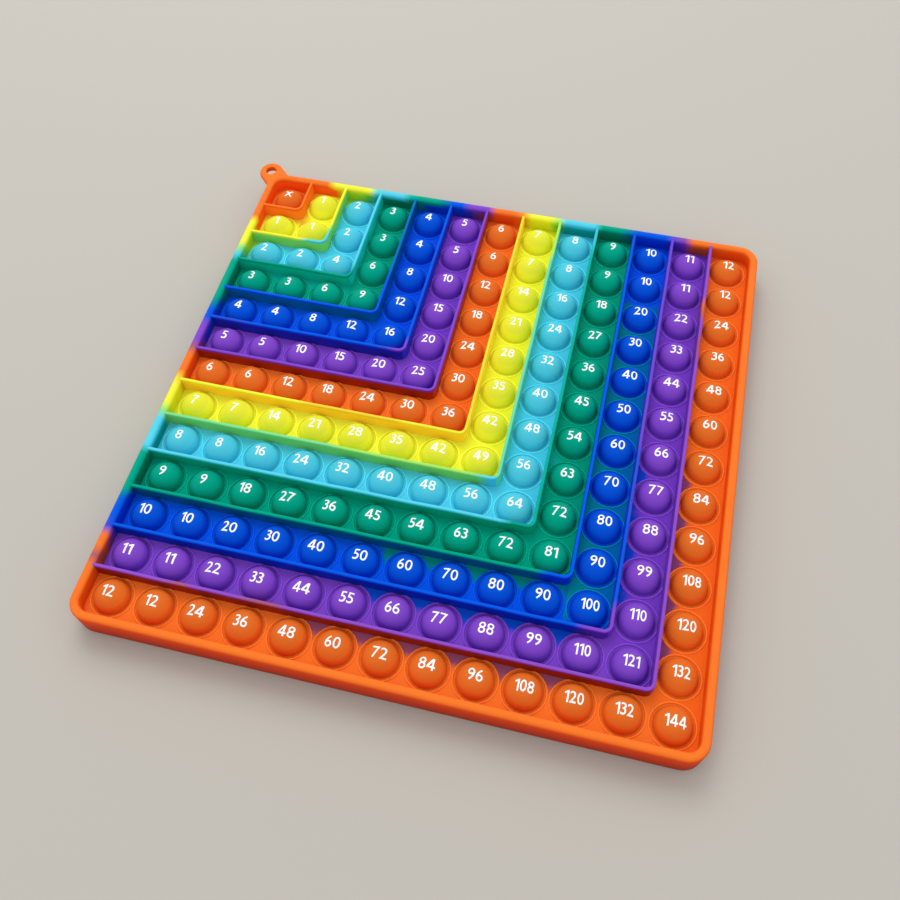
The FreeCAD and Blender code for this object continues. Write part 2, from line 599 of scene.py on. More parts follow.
@dataclass(frozen=True)
class Silicone:
    """Soft satin silicone, coloured through by its pigments, with light and shade painted into the
    colour.
    """

    name: str = "dyed_silicone_and_painted_light"
    # Name of the colour attribute, which holds the pigments with painted light and shade
    attribute: str = "dye_and_painted_light"
    roughness: float = 0.5
    smoother: float = 0.05
    rougher: float = 0.07
    gloss: float = 0.09
    clouding: float = 0.06
    cloud_scale: float = 60.0
    cloud_detail: float = 3.0
    grain: float = 0.10
    grain_scale: float = 1400.0
    grain_detail: float = 2.0
    grain_height: float = 0.0001

    def speckle(self, tree: bpy.types.NodeTree, scale: float, detail: float) -> bpy.types.Node:
        """Noise that lies still on the piece.

        Args:
            tree: The material's nodes.
            scale: How fine it is.
            detail: How many finer layers it has.

        Returns:
            Its node.
        """
        speckle = tree.nodes.new("ShaderNodeTexNoise")
        speckle.inputs["Scale"].default_value = scale
        speckle.inputs["Detail"].default_value = detail
        place = tree.nodes.new("ShaderNodeTexCoord")
        tree.links.new(place.outputs["Object"], speckle.inputs["Vector"])
        return speckle

    def between(self, tree: bpy.types.NodeTree, low: float, high: float) -> bpy.types.Node:
        """Range that some noise is spread over.

        Args:
            tree: The material's nodes.
            low: Where the noise is 0.
            high: Where it is 1.

        Returns:
            Its node.
        """
        spread = tree.nodes.new("ShaderNodeMapRange")
        spread.inputs["To Min"].default_value = low
        spread.inputs["To Max"].default_value = high
        return spread

    def material(self) -> bpy.types.Material:
        """Silicone with its pigment colours and painted light and shade, faint clouding and a fine
        moulded grain.

        Returns:
            The material.
        """
        material, shader = blank(self.name)
        tree = material.node_tree
        dye_and_painted_light = tree.nodes.new("ShaderNodeAttribute")
        dye_and_painted_light.attribute_name = self.attribute
        clouds = self.speckle(tree, self.cloud_scale, self.cloud_detail)
        fade = self.between(tree, 1 - self.clouding, 1 + self.clouding)
        tint = tree.nodes.new("ShaderNodeHueSaturation")
        grain = self.speckle(tree, self.grain_scale, self.grain_detail)
        sheen = self.between(tree, self.roughness - self.smoother, self.roughness + self.rougher)
        bump = tree.nodes.new("ShaderNodeBump")
        bump.inputs["Strength"].default_value = self.grain
        bump.inputs["Distance"].default_value = self.grain_height
        link = tree.links.new
        link(clouds.outputs["Fac"], fade.inputs["Value"])
        link(fade.outputs["Result"], tint.inputs["Value"])
        link(dye_and_painted_light.outputs["Color"], tint.inputs["Color"])
        link(tint.outputs["Color"], shader.inputs["Base Color"])
        link(tint.outputs["Color"], shader.inputs["Specular Tint"])
        link(clouds.outputs["Fac"], sheen.inputs["Value"])
        link(sheen.outputs["Result"], shader.inputs["Roughness"])
        link(grain.outputs["Fac"], bump.inputs["Height"])
        link(bump.outputs["Normal"], shader.inputs["Normal"])
        shader.inputs["Specular IOR Level"].default_value = self.gloss
        return material


@dataclass(frozen=True)
class Ink:
    """White ink of the numbers, printed thick on the silicone."""

    name: str = "white_ink"
    roughness: float = 0.5
    cover_scale: float = 500.0
    thin: Sequence[float] = (0.84, 0.85, 0.85, 1.0)
    thick: Sequence[float] = (0.93, 0.94, 0.94, 1.0)

    def material(self) -> bpy.types.Material:
        """White ink with slightly uneven cover.

        Returns:
            The material.
        """
        material, shader = blank(self.name)
        tree = material.node_tree
        place = tree.nodes.new("ShaderNodeTexCoord")
        cover = tree.nodes.new("ShaderNodeTexNoise")
        cover.inputs["Scale"].default_value = self.cover_scale
        ramp = tree.nodes.new("ShaderNodeValToRGB")
        ramp.color_ramp.elements[0].color = self.thin
        ramp.color_ramp.elements[1].color = self.thick
        link = tree.links.new
        link(place.outputs["Object"], cover.inputs["Vector"])
        link(cover.outputs["Fac"], ramp.inputs["Fac"])
        link(ramp.outputs["Color"], shader.inputs["Base Color"])
        shader.inputs["Roughness"].default_value = self.roughness
        return material


@dataclass(frozen=True)
class PaleFloor:
    """Plain pale table top under the board."""

    name: str = "pale_floor"
    colour: Sequence[float] = (0.45, 0.425, 0.38, 1.0)
    roughness: float = 0.8

    def material(self) -> bpy.types.Material:
        """Matt pale surface.

        Returns:
            The material.
        """
        material, shader = blank(self.name)
        shader.inputs["Base Color"].default_value = self.colour
        shader.inputs["Roughness"].default_value = self.roughness
        return material


class Workshop:
    """Turns finished shapes into pieces of the board."""

    def __init__(self) -> None:
        """Mix the finishes that the pieces share."""
        self.silicone = Silicone()
        self.silicone_material = self.silicone.material()
        self.ink_material = Ink().material()

    def to_frame(self, shape: bmesh.types.BMesh) -> None:
        """Bring a shape from millimetres about the grid to the frame's metres."""
        bmesh.ops.transform(shape, matrix=Matrix.Diagonal((MM, MM, MM, 1.0)), verts=shape.verts)
        bmesh.ops.translate(shape, vec=PLAN.centre, verts=shape.verts)

    def dye_and_painted_light(self, shape: bmesh.types.BMesh, colour_of: Callable[[Vector, Vector], Vector]) -> None:
        """Colour every face corner of a shape, with painted shade on its steep faces.

        Args:
            shape: The shape, in millimetres about the grid.
            colour_of: Gives the colour from a face's middle and one of its corners.
        """
        layer = shape.loops.layers.float_color.new(self.silicone.attribute)
        shape.normal_update()
        for face in shape.faces:
            middle = face.calc_center_median()
            for loop in face.loops:
                # Painted shade: steep faces are darkened and deepened
                slopes = (1 - abs(loop.vert.normal.z)) * (1 - abs(face.normal.z))
                steepness = max(math.sqrt(slopes) - DYE_AND_PAINTED_LIGHT.steep_from, 0.0) / (1 - DYE_AND_PAINTED_LIGHT.steep_from)
                colour = DYE_AND_PAINTED_LIGHT.painted_shade(colour_of(middle, loop.vert.co), steepness)
                loop[layer] = (*[min(channel, 1.0) for channel in colour], 1.0)

    def piece(self, shape: bmesh.types.BMesh, name: str, material: bpy.types.Material,
              crease: float = 40.0) -> bpy.types.Object:
        """Make a piece of the board from a closed shape.

        Args:
            shape: The shape, in millimetres about the grid.
            name: The piece's name.
            material: Its finish.
            crease: Angle in degrees past which an edge looks sharp.

        Returns:
            The piece, riding on the board.
        """
        self.to_frame(shape)
        mesh = bpy.data.meshes.new(name)
        shape.to_mesh(mesh)
        shape.free()
        mesh.shade_smooth()
        mesh.set_sharp_from_angle(angle=math.radians(crease))
        mesh.materials.append(material)
        piece = bpy.data.objects.new(name, mesh)
        bpy.context.scene.collection.objects.link(piece)
        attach(piece, "root")
        mesh.calc_loop_triangles()
        LOG.info("%s: %d triangles", name, len(mesh.loop_triangles))
        return piece

    def moulding(self, shape: bmesh.types.BMesh, name: str,
                 colour_of: Callable[[Vector, Vector], Vector]) -> bpy.types.Object:
        """Make a piece of the silicone moulding, coloured with its pigments and painted light and
        shade.

        Args:
            shape: The shape, in millimetres about the grid.
            name: The piece's name.
            colour_of: Gives the colour from a face's middle and one of its corners.

        Returns:
            The piece.
        """
        self.dye_and_painted_light(shape, colour_of)
        piece = self.piece(shape, name, self.silicone_material)
        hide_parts(NODE)
        return piece


def arc(centre: Vector, radius: float, start: float, end: float, steps: int) -> list[Vector]:
    """Points along an arc in the XZ plane.

    Args:
        centre: Middle of the arc.
        radius: Its radius.
        start: Angle of its first point from +X, in degrees.
        end: Angle of its last point.
        steps: Number of equal steps between them.

    Returns:
        The points, both ends included.
    """
    points = []
    for step in range(steps + 1):
        angle = math.radians(start + (end - start) * step / steps)
        points.append(centre + Vector((math.cos(angle), 0.0, math.sin(angle))) * radius)
    return points


def chain(shape: bmesh.types.BMesh, points: Sequence[Vector], closed: bool) -> list:
    """Vertices along some points, joined by edges.

    Args:
        shape: The shape that gets them.
        points: The points in order.
        closed: Whether the last joins the first.

    Returns:
        The new vertices and edges.
    """
    verts = [shape.verts.new(point) for point in points]
    edges = [shape.edges.new(pair) for pair in zip(verts, verts[1:])]
    if closed:
        edges.append(shape.edges.new((verts[-1], verts[0])))
    return verts + edges


def only(kind: type, geometry: Sequence) -> list:
    """The elements of one kind among some geometry."""
    return [element for element in geometry if isinstance(element, kind)]


def sweep(shape: bmesh.types.BMesh, edges: list, travel: Vector, steps: int) -> list:
    """Extrude a section along a straight way.

    Args:
        shape: The shape that holds the section.
        edges: The section's edges.
        travel: The whole way.
        steps: Number of equal steps along it.

    Returns:
        The section's edges at the far end.
    """
    for _ in range(steps):
        grown = bmesh.ops.extrude_edge_only(shape, edges=edges)["geom"]
        bmesh.ops.translate(shape, vec=travel / steps, verts=only(bmesh.types.BMVert, grown))
        edges = only(bmesh.types.BMEdge, grown)
        ends = set(only(bmesh.types.BMVert, grown))
        edges = [edge for edge in edges if edge.verts[0] in ends and edge.verts[1] in ends]
    return edges


def turn(shape: bmesh.types.BMesh, edges: list, centre: Vector, angle: float, steps: int) -> list:
    """Spin a section round an upright axis.

    Args:
        shape: The shape that holds the section.
        edges: The section's edges.
        centre: A point on the axis.
        angle: The turn in degrees, anticlockwise seen from above.
        steps: Number of equal steps in it.

    Returns:
        The section's edges at the far end.
    """
    verts = list(dict.fromkeys(vert for edge in edges for vert in edge.verts))
    result = bmesh.ops.spin(shape, geom=verts + edges, cent=centre, axis=UP,
                            angle=math.radians(angle), steps=steps)
    return only(bmesh.types.BMEdge, result["geom_last"])


@dataclass
class BubbleSheet:
    """Web with its bubbles and rings, hollow from below, that spans the rim."""

    spokes: int = 24
    dome_steps: int = 6
    hollow_steps: int = 4
    groove: float = 0.08
    into_rim: float = 1.8
    into_corner: float = 0.3
    ring_bulge: Sequence[Sequence[float]] = (
        (0.05, 0.1), (0.26, 0.55), (0.45, 0.93), (0.6, 1.0), (0.76, 0.8), (0.9, 0.36),
    )

    def upper_profile(self) -> list[Vector]:
        """Half section of a bubble's upper side.

        Returns:
            Its points from the top of the dome to the ring's foot.
        """
        ball = Vector((0.0, 0.0, PLAN.dome_centre))
        moat = PLAN.web_top - self.groove
        low = math.degrees(math.asin((moat - PLAN.dome_centre) / PLAN.dome_radius))
        dome = arc(ball, PLAN.dome_radius, 90.0, low, self.dome_steps)
        ring = [Vector((PLAN.ring_inner, 0.0, moat))]
        for across, up in self.ring_bulge:
            radius = PLAN.ring_inner + across * (PLAN.ring_outer - PLAN.ring_inner)
            ring.append(Vector((radius, 0.0, PLAN.web_top + up * PLAN.ring_height)))
        ring.append(Vector((PLAN.ring_outer, 0.0, PLAN.web_top)))
        return dome + ring

    def lower_profile(self) -> list[Vector]:
        """Half section of a bubble's hollow.

        Returns:
            Its points from the top to the mouth.
        """
        radius = PLAN.dome_radius - PLAN.bubble_skin
        ball = Vector((0.0, 0.0, PLAN.dome_centre))
        low = math.degrees(math.asin((PLAN.web_bottom - PLAN.dome_centre) / radius))
        return arc(ball, radius, 90.0, low, self.hollow_steps)

    def tile(self, profile: list[Vector]) -> bmesh.types.BMesh:
        """One square cell of one side of the sheet.

        Args:
            profile: Half section from the axis outwards.

        Returns:
            The cell about the origin.
        """
        shape = bmesh.new()
        section = chain(shape, profile, closed=False)
        bmesh.ops.spin(shape, geom=section, cent=(0, 0, 0), axis=UP, angle=math.tau,
                       steps=self.spokes, use_merge=True)
        bmesh.ops.remove_doubles(shape, verts=shape.verts, dist=NEAR)
        border = [edge for edge in shape.edges if edge.is_boundary]
        grown = bmesh.ops.extrude_edge_only(shape, edges=border)["geom"]
        for vert in only(bmesh.types.BMVert, grown):
            flat = vert.co.xy
            flat *= PLAN.pitch / 2 / max(abs(flat.x), abs(flat.y))
            vert.co.xy = flat
        return shape

    def spread(self, tile: bmesh.types.BMesh) -> None:
        """Copy a cell over the whole grid, first along a row and then down the board.

        Args:
            tile: The cell about the origin, which grows into the grid.
        """
        start = PLAN.cell_centre(0, 0)
        bmesh.ops.translate(tile, vec=start, verts=tile.verts)
        for step in (Vector((PLAN.pitch, 0, 0)), Vector((0, -PLAN.pitch, 0))):
            first = tile.verts[:] + tile.edges[:] + tile.faces[:]
            for count in range(1, PLAN.cells):
                copy = bmesh.ops.duplicate(tile, geom=first)["geom"]
                bmesh.ops.translate(tile, vec=step * count, verts=only(bmesh.types.BMVert, copy))
        bmesh.ops.remove_doubles(tile, verts=tile.verts, dist=NEAR)

    def close(self, shape: bmesh.types.BMesh) -> None:
        """Grow both sides' borders into the rim and join them there.

        Args:
            shape: The upper and lower side of the grid.
        """
        border = [edge for edge in shape.edges if edge.is_boundary]
        grown = bmesh.ops.extrude_edge_only(shape, edges=border)["geom"]
        verts = only(bmesh.types.BMVert, grown)
        ends = set(verts)
        for vert in verts:
            on_corner = abs(abs(vert.co.x) - abs(vert.co.y)) < NEAR
            reach = self.into_corner if on_corner else PLAN.rim_inner - PLAN.half + self.into_rim
            if abs(vert.co.x) > PLAN.half - NEAR:
                vert.co.x += math.copysign(reach, vert.co.x)
            if abs(vert.co.y) > PLAN.half - NEAR:
                vert.co.y += math.copysign(reach, vert.co.y)
        edges = [edge for edge in only(bmesh.types.BMEdge, grown)
                 if edge.verts[0] in ends and edge.verts[1] in ends]
        bmesh.ops.bridge_loops(shape, edges=edges)

    def build(self, workshop: Workshop) -> None:
        """Make the sheet.

        Args:
            workshop: Finishes it.
        """
        sheet = self.tile(self.upper_profile())
        self.spread(sheet)
        below = self.tile(self.lower_profile())
        self.spread(below)
        holder = bpy.data.meshes.new("hollows")
        below.to_mesh(holder)
        below.free()
        sheet.from_mesh(holder)
        bpy.data.meshes.remove(holder)
        self.close(sheet)
        bmesh.ops.recalc_face_normals(sheet, faces=sheet.faces)
        workshop.moulding(sheet, "bubble_sheet", DYE_AND_PAINTED_LIGHT.of_sheet)


@dataclass
class Walls:
    """L-shaped walls that part the bands, from the left rim round a bend to the far rim."""

    top_width: float = 1.5
    foot_width: float = 2.0
    bend_radius: float = 3.25
    top_round: float = 0.5
    round_steps: int = 3
    arm_step: float = 6.0
    bend_steps: int = 8
    sway: float = 0.22
    sway_scale: float = 0.045

    def section(self, line: float) -> list[Vector]:
        """Closed section of an upright arm, which stands in the web.

        Args:
            line: The arm's place along X.

        Returns:
            Its points, at Y 0.
        """
        foot = self.foot_width / 2
        side = self.top_width / 2
        flat = side - self.top_round
        shoulder = PLAN.wall_top - self.top_round
        right = arc(Vector((flat, 0.0, shoulder)), self.top_round, 0.0, 90.0, self.round_steps)
        left = arc(Vector((-flat, 0.0, shoulder)), self.top_round, 90.0, 180.0, self.round_steps)
        tinted = PLAN.wall_top - DYE_AND_PAINTED_LIGHT.face_below_top
        lean = (foot - side) * (shoulder - tinted) / (shoulder - PLAN.web_middle)
        edge = [Vector((foot, 0.0, PLAN.web_middle)), Vector((side + lean, 0.0, tinted))]
        outline = edge + right + left + [Vector((-foot, 0.0, PLAN.web_middle))]
        return [point + Vector((line, 0.0, 0.0)) for point in outline]

    def wall(self, shape: bmesh.types.BMesh, band: int) -> None:
        """Add one wall, dyed later by its own band.

        Args:
            shape: The shape that gets it.
            band: The band that it stands inside of.
        """
        line = PLAN.wall_line(band)
        bend = Vector((line - self.bend_radius, self.bend_radius - line, 0.0))
        length = PLAN.rim_middle - bend.y
        steps = max(2, round(length / self.arm_step))
        points = [point + Vector((0.0, PLAN.rim_middle, 0.0)) for point in self.section(line)]
        start = chain(shape, points, closed=True)
        ring = only(bmesh.types.BMEdge, start)
        cap = shape.faces.new(only(bmesh.types.BMVert, start))
        ring = sweep(shape, ring, Vector((0.0, -length, 0.0)), steps)
        ring = turn(shape, ring, bend, -90.0, self.bend_steps)
        ring = sweep(shape, ring, Vector((-length, 0.0, 0.0)), steps)
        bmesh.ops.holes_fill(shape, edges=ring, sides=0)
        cap.normal_update()

    def let_sway(self, shape: bmesh.types.BMesh) -> None:
        """Let the soft walls stand a little uneven, as thin silicone does.

        Args:
            shape: One wall.
        """
        height = PLAN.wall_top - PLAN.web_top
        for vert in shape.verts:
            lift = soft_step((vert.co.z - PLAN.web_top) / height)
            sway = noise.noise(vert.co.xy.to_3d() * self.sway_scale) * self.sway * lift
            vert.co += Vector((sway, -sway, 0.0))

    def build(self, workshop: Workshop) -> None:
        """Make all the walls.

        Args:
            workshop: Finishes them.
        """
        for band in range(1, PLAN.cells):
            shape = bmesh.new()
            self.wall(shape, band)
            self.let_sway(shape)
            bmesh.ops.recalc_face_normals(shape, faces=shape.faces)
            workshop.moulding(shape, f"band_wall_{band:02d}",
                              lambda face, place, band=band: DYE_AND_PAINTED_LIGHT.of_wall(band, place))


@dataclass
class Rim:
    """Frame round the board, its upper and lower edges rounded to a nose."""

    nose_steps: int = 5
    tinted_below: float = 3.5
    side_steps: int = 52
    corner_steps: int = 8

    def section(self) -> list[Vector]:
        """Closed section at the middle of the right side.

        Returns:
            Its points, at Y 0.
        """
        nose = PLAN.rim_nose
        half = (PLAN.rim_outer - PLAN.rim_inner) / 2
        inwards = Vector((PLAN.rim_middle - half + nose, 0.0, 0.0))
        outwards = Vector((PLAN.rim_middle + half - nose, 0.0, 0.0))
        high = UP * (PLAN.rim_height - nose)
        low = UP * nose
        outline = arc(outwards + high, nose, 0.0, 90.0, self.nose_steps)
        outline += arc(inwards + high, nose, 90.0, 180.0, self.nose_steps)
        outline.append(Vector((PLAN.rim_inner, 0.0, PLAN.rim_height - self.tinted_below)))
        outline += arc(inwards + low, nose, 180.0, 270.0, self.nose_steps)
        outline += arc(outwards + low, nose, 270.0, 360.0, self.nose_steps)
        return outline

    def build(self, workshop: Workshop) -> None:
        """Make the rim.

        Args:
            workshop: Finishes it.
        """
        shape = bmesh.new()
        corner = PLAN.corner_centre
        points = [point + Vector((0.0, -corner, 0.0)) for point in self.section()]
        ring = only(bmesh.types.BMEdge, chain(shape, points, closed=True))
        way = Vector((0.0, 2 * corner, 0.0))
        pivot = Vector((corner, corner, 0.0))
        for _ in range(4):
            ring = sweep(shape, ring, way, self.side_steps)
            ring = turn(shape, ring, pivot, 90.0, self.corner_steps)
            way = Vector((-way.y, way.x, 0.0))
            pivot = Vector((-pivot.y, pivot.x, 0.0))
        bmesh.ops.remove_doubles(shape, verts=shape.verts, dist=NEAR)
        bmesh.ops.recalc_face_normals(shape, faces=shape.faces)
        workshop.moulding(shape, "rim", DYE_AND_PAINTED_LIGHT.of_rim)


@dataclass
class HangingLoop:
    """Flat loop at the far left corner, flush with the top of the rim."""

    radius: float = 6.5
    hole_radius: float = 2.8
    thickness: float = 3.3
    stand_off: float = 0.8
    neck_radius: float = 3.0
    neck_sunk: float = 0.15
    neck_run: float = 2.5
    upper_round: float = 1.78
    lower_round: float = 1.0
    hole_round: float = 0.6
    below_crest: float = 0.02
    flare_steps: int = 5
    disc_steps: int = 24
    close_steps: int = 6
    hole_steps: int = 32
    upper_steps: int = 6
    lower_steps: int = 4
    folded_past: float = 45.0
    hole_margin: float = 0.2

    @property
    def centre(self) -> Vector:
        """Middle of the hole."""
        out = PLAN.rim_outer + self.stand_off
        return Vector((-out, out, 0.0))

    def outline(self) -> list[Vector]:
        """Plan of the loop: half a disc, straight sides and flares, closed inside the rim.

        Returns:
            Its points, at height 0.
        """
        neck_face = PLAN.rim_outer - self.neck_sunk
        side_meets_rim = Vector((self.radius * math.sqrt(2) - neck_face, neck_face, 0.0))
        flare_reach = self.neck_radius * math.tan(math.pi / 8)
        flare = side_meets_rim + Vector((flare_reach, self.neck_radius, 0.0))
        run_end = flare.x + self.neck_run
        neck = [Vector((run_end, PLAN.rim_middle, 0.0)), Vector((run_end, neck_face, 0.0))]
        neck += [flare + point
                 for point in self.flat_arc(self.neck_radius, 270.0, 225.0, self.flare_steps)]
        disc = [self.centre + point
                for point in self.flat_arc(self.radius, 45.0, 225.0, self.disc_steps)]
        far_neck = [Vector((-point.y, -point.x, 0.0)) for point in reversed(neck)]
        corner = PLAN.corner_centre
        close = [Vector((-corner, corner, 0.0)) + point
                 for point in self.flat_arc(PLAN.rim_middle_corner, 180.0, 90.0, self.close_steps)]
        return neck + disc + far_neck + close

    def flat_arc(self, radius: float, start: float, end: float, steps: int) -> list[Vector]:
        """Points of a level arc about the origin.

        Args:
            radius: Its radius.
            start: Angle of its first point from +X, in degrees.
            end: Angle of its last point.
            steps: Number of equal steps.

        Returns:
            The points, both ends included.
        """
        upright = arc(Vector((0.0, 0.0, 0.0)), radius, start, end, steps)
        return [Vector((point.x, point.z, 0.0)) for point in upright]

    def build(self, workshop: Workshop) -> None:
        """Make the loop.

        Args:
            workshop: Finishes it.
        """
        shape = bmesh.new()
        outer = chain(shape, self.outline(), closed=True)
        hole = bmesh.ops.create_circle(shape, radius=self.hole_radius, segments=self.hole_steps,
                                       matrix=Matrix.Translation(self.centre))
        hole_edges = list(dict.fromkeys(edge for vert in hole["verts"] for edge in vert.link_edges))
        bmesh.ops.triangle_fill(shape, use_beauty=True, use_dissolve=False,
                                edges=only(bmesh.types.BMEdge, outer) + hole_edges)
        top = PLAN.rim_height - self.below_crest
        bmesh.ops.translate(shape, vec=UP * (top - self.thickness), verts=shape.verts)
        grown = bmesh.ops.extrude_face_region(shape, geom=shape.faces[:])["geom"]
        bmesh.ops.translate(shape, vec=UP * self.thickness, verts=only(bmesh.types.BMVert, grown))
        bmesh.ops.recalc_face_normals(shape, faces=shape.faces)
        foot = top - self.thickness
        self.soften(shape, top, self.upper_round, self.upper_steps, on_hole=False)
        self.soften(shape, foot, self.lower_round, self.lower_steps, on_hole=False)
        self.soften(shape, top, self.hole_round, self.lower_steps, on_hole=True)
        self.soften(shape, foot, self.hole_round, self.lower_steps, on_hole=True)
        workshop.moulding(shape, "hanging_loop", lambda face, place: DYE_AND_PAINTED_LIGHT.shade(0))

    def soften(self, shape: bmesh.types.BMesh, height: float, radius: float, steps: int,
               on_hole: bool) -> None:
        """Round the loop's edges at one height.

        Args:
            shape: The loop.
            height: Where the edges are.
            radius: How round they become.
            steps: Segments across the rounding.
            on_hole: Whether the hole's edges are meant, not the outline's.
        """
        chosen = []
        for edge in shape.edges:
            middle = (edge.verts[0].co + edge.verts[1].co) / 2
            level = all(abs(vert.co.z - height) < NEAR for vert in edge.verts)
            folded = edge.calc_face_angle(0.0) > math.radians(self.folded_past)
            near_hole = (middle.xy - self.centre.xy).length < self.hole_radius + self.hole_margin
            showing = max(middle.y, -middle.x) > PLAN.rim_outer - self.neck_sunk - NEAR
            if level and folded and showing and near_hole is on_hole:
                chosen.append(edge)
        bmesh.ops.bevel(shape, geom=chosen, offset=radius, offset_type="OFFSET", segments=steps,
                        profile=0.5, affect="EDGES", clamp_overlap=False, material=-1)


@dataclass(frozen=True)
class Lettering:
    """How the characters of one label are drawn, in shares of their height."""

    stretch: float
    weight: float
    gap: float


@dataclass
class PrintedNumbers:
    """White numbers printed on the tops of the bubbles."""

    height: float = 5.0
    wide: Lettering = Lettering(stretch=0.96, weight=0.003, gap=0.1)
    narrow: Lettering = Lettering(stretch=0.83, weight=0.007, gap=0.08)
    cross_size: float = 1.22
    cross_lift: float = 0.13
    offset: float = 0.45
    thickness: float = 0.06
    sunk: float = 0.05
    cut_step: float = 1.3
    cut_start: float = 0.35
    cuts: int = 7
    capital: float = 0.7
    same_point: float = 0.0005
    cut_within: float = 0.0001
    crease: float = 50.0

    def label(self, column: int, row: int) -> str:
        """Text on a cell: the factors along the first row and column, and their products.

        Args:
            column: Place along a row.
            row: Place down a column.

        Returns:
            The text.
        """
        if column == 0 and row == 0:
            return "x"
        return str(max(column, 1) * max(row, 1))

    def one(self) -> bmesh.types.BMesh:
        """A 1 with a small flag, one unit high.

        Returns:
            Its face in the XY plane.
        """
        outline = [
            (0.26, 0.0), (0.425, 0.0), (0.425, 1.0), (0.29, 1.0),
            (0.0, 0.83), (0.045, 0.7), (0.26, 0.79),
        ]
        shape = bmesh.new()
        shape.faces.new([shape.verts.new((*point, 0.0)) for point in outline])
        return shape

    def four(self) -> bmesh.types.BMesh:
        """A 4 with an open triangle in it, one unit high.

        Returns:
            Its face in the XY plane.
        """
        outer = [
            (0.43, 0.0), (0.59, 0.0), (0.59, 0.2), (0.73, 0.2), (0.73, 0.34), (0.59, 0.34),
            (0.59, 1.0), (0.4, 1.0), (0.0, 0.34), (0.0, 0.2), (0.43, 0.2),
        ]
        inner = [(0.43, 0.34), (0.43, 0.74), (0.185, 0.34)]
        shape = bmesh.new()
        edges = []
        for points in (outer, inner):
            made = chain(shape, [Vector((*point, 0.0)) for point in points], closed=True)
            edges += only(bmesh.types.BMEdge, made)
        bmesh.ops.triangle_fill(shape, use_beauty=True, use_dissolve=False, edges=edges)
        return shape

    def drawn(self, character: str, lettering: Lettering) -> bmesh.types.BMesh:
        """Flat face of a character of the font, one unit high.

        Args:
            character: The character.
            lettering: How heavy it is.

        Returns:
            Its face in the XY plane.
        """
        curve = bpy.data.curves.new("character", "FONT")
        curve.body = character
        curve.offset = lettering.weight
        curve.resolution_u = 3
        holder = bpy.data.objects.new("character", curve)
        bpy.context.scene.collection.objects.link(holder)
        bpy.context.view_layer.update()
        made = holder.evaluated_get(bpy.context.evaluated_depsgraph_get())
        mesh = bpy.data.meshes.new_from_object(made)
        shape = bmesh.new()
        shape.from_mesh(mesh)
        bpy.data.meshes.remove(mesh)
        bpy.data.objects.remove(holder)
        bpy.data.curves.remove(curve)
        bmesh.ops.remove_doubles(shape, verts=shape.verts, dist=self.same_point)
        low = min(vert.co.y for vert in shape.verts)
        left = min(vert.co.x for vert in shape.verts)
        tall = self.capital + 2 * lettering.weight
        bmesh.ops.translate(shape, vec=(-left, -low, 0.0), verts=shape.verts)
        bmesh.ops.scale(shape, vec=(1 / tall, 1 / tall, 1.0), verts=shape.verts)
        return shape

    def character(self, character: str, lettering: Lettering) -> bpy.types.Mesh:
        """Thin slab of a character at its printed size, cut small enough to follow a bubble.

        Args:
            character: The character.
            lettering: Its width and weight.

        Returns:
            A mesh whose left end and foot are at 0.
        """
        own = {"1": self.one, "4": self.four}
        shape = own[character]() if character in own else self.drawn(character, lettering)
        if character == "x":
            bmesh.ops.scale(shape, vec=(self.cross_size, self.cross_size, 1.0), verts=shape.verts)
            bmesh.ops.translate(shape, vec=(0.0, self.cross_lift, 0.0), verts=shape.verts)
        width = self.height * lettering.stretch
        bmesh.ops.scale(shape, vec=(width, self.height, 1.0), verts=shape.verts)
        for direction in (Vector((1, 0, 0)), Vector((0, 1, 0))):
            for count in range(1, self.cuts + 1):
                everything = shape.verts[:] + shape.edges[:] + shape.faces[:]
                bmesh.ops.bisect_plane(
                    shape, geom=everything, dist=self.cut_within, plane_no=direction,
                    plane_co=direction * self.cut_step * (count - self.cut_start))
        grown = bmesh.ops.extrude_face_region(shape, geom=shape.faces[:])["geom"]
        depth = self.thickness + self.sunk
        bmesh.ops.translate(shape, vec=UP * depth, verts=only(bmesh.types.BMVert, grown))
        bmesh.ops.recalc_face_normals(shape, faces=shape.faces)
        mesh = bpy.data.meshes.new("slab")
        shape.to_mesh(mesh)
        shape.free()
        return mesh

    def on_bubble(self, centre: Vector, place: Vector) -> float:
        """Height of a bubble's skin over a place.

        Args:
            centre: Middle of the bubble.
            place: The place.

        Returns:
            Its height in millimetres.
        """
        across = (place.xy - centre.xy).length
        return PLAN.dome_centre + math.sqrt(PLAN.dome_radius ** 2 - across ** 2)

    def build(self, workshop: Workshop) -> None:
        """Print every number.

        Args:
            workshop: Finishes them.
        """
        shape = bmesh.new()
        slabs: dict[tuple[str, Lettering], tuple[bpy.types.Mesh, float]] = {}
        for row in range(PLAN.cells):
            for column in range(PLAN.cells):
                label = self.label(column, row)
                lettering = self.narrow if len(label) > 2 else self.wide
                for character in label:
                    if (character, lettering) not in slabs:
                        mesh = self.character(character, lettering)
                        width = max(vert.co.x for vert in mesh.vertices)
                        slabs[character, lettering] = (mesh, width)
                self.place(shape, [slabs[character, lettering] for character in label],
                           lettering, PLAN.cell_centre(column, row))
        for mesh, _ in slabs.values():
            bpy.data.meshes.remove(mesh)
        piece = workshop.piece(shape, "printed_numbers", workshop.ink_material, self.crease)
        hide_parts(NODE)

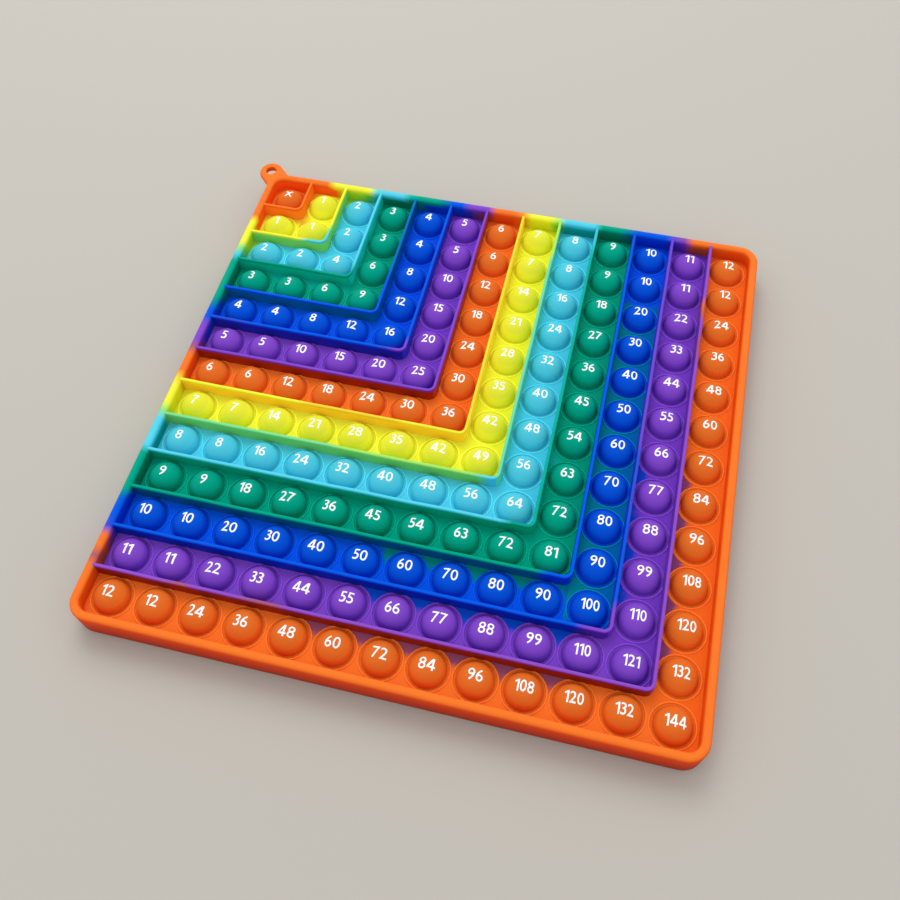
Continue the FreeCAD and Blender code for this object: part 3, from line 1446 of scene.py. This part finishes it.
    def place(self, shape: bmesh.types.BMesh, slabs: Sequence[tuple[bpy.types.Mesh, float]],
              lettering: Lettering, centre: Vector) -> None:
        """Lay one label's slabs on a bubble.

        Args:
            shape: The shape that gets them.
            slabs: Each character's slab and its width.
            lettering: How far apart they stand.
            centre: Middle of the bubble.
        """
        gap = lettering.gap * self.height
        total = sum(width for _, width in slabs) + gap * (len(slabs) - 1)
        left = -total / 2
        for slab, width in slabs:
            known = len(shape.verts)
            shape.from_mesh(slab)
            shape.verts.ensure_lookup_table()
            for vert in shape.verts[known:]:
                vert.co += centre + Vector((left, self.offset - self.height / 2, 0.0))
                vert.co.z += self.on_bubble(centre, vert.co) - self.sunk
            left += width + gap


@dataclass(frozen=True)
class SoftLight:
    """A square lamp of the studio that faces the board."""

    name: str
    place: Sequence[float]
    size: float
    power: float


@dataclass
class Studio:
    """Pale floor, soft light and the camera at the photograph's angle."""

    camera_from_middle: Sequence[float] = (63.64, -229.74, 380.39)
    camera_right: Sequence[float] = (0.97198955, 0.23415054, -0.02024443)
    camera_down: Sequence[float] = (0.19107865, -0.83745999, -0.51200558)
    lens: float = 36.997
    sensor: float = 36.0
    nearest: float = 0.01
    floor_half: float = 3.0
    sky: float = 0.98
    lamps: Sequence[SoftLight] = (
        SoftLight("key_light", (-0.33, 0.78, 1.25), 0.9, 9.0),
    )

    def floor(self) -> None:
        """Lay the floor under the board."""
        shape = bmesh.new()
        bmesh.ops.create_grid(shape, x_segments=2, y_segments=2, size=self.floor_half)
        mesh = bpy.data.meshes.new("studio_floor")
        shape.to_mesh(mesh)
        shape.free()
        mesh.materials.append(PaleFloor().material())
        floor = bpy.data.objects.new("studio_floor", mesh)
        bpy.context.scene.collection.objects.link(floor)

    def light(self) -> None:
        """Hang the lamps and set the light of the room."""
        for lamp in self.lamps:
            data = bpy.data.lights.new(lamp.name, "AREA")
            data.energy = lamp.power
            data.size = lamp.size
            light = bpy.data.objects.new(lamp.name, data)
            light.location = lamp.place
            light.rotation_euler = (-Vector(lamp.place)).to_track_quat("-Z", "Y").to_euler()
            bpy.context.scene.collection.objects.link(light)
        world = bpy.data.worlds.new("room")
        world.use_nodes = True
        world.node_tree.nodes["Background"].inputs["Color"].default_value = (1.0, 1.0, 1.0, 1.0)
        world.node_tree.nodes["Background"].inputs["Strength"].default_value = self.sky
        bpy.context.scene.world = world
        bpy.context.scene.view_settings.view_transform = "Standard"

    def camera(self) -> None:
        """Put the camera where the photograph was taken from."""
        right = Vector(self.camera_right)
        up = -Vector(self.camera_down)
        back = right.cross(up)
        data = bpy.data.cameras.new("photo_camera")
        data.sensor_width = self.sensor
        data.lens = self.lens
        data.clip_start = self.nearest
        camera = bpy.data.objects.new("photo_camera", data)
        turned = Matrix((right, up, back)).transposed().to_4x4()
        place = PLAN.centre + Vector(self.camera_from_middle) * MM
        camera.matrix_world = Matrix.Translation(place) @ turned
        bpy.context.scene.collection.objects.link(camera)
        bpy.context.scene.camera = camera

    def build(self) -> None:
        """Set up the whole studio."""
        self.floor()
        self.light()
        self.camera()


def main() -> None:
    """Build the board's pieces in order, then the studio."""
    logging.basicConfig(level=logging.INFO, format="%(message)s")
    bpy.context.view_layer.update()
    workshop = Workshop()
    BubbleSheet().build(workshop)
    Walls().build(workshop)
    Rim().build(workshop)
    HangingLoop().build(workshop)
    PrintedNumbers().build(workshop)
    Studio().build()


if __name__ == "__main__":
    main()
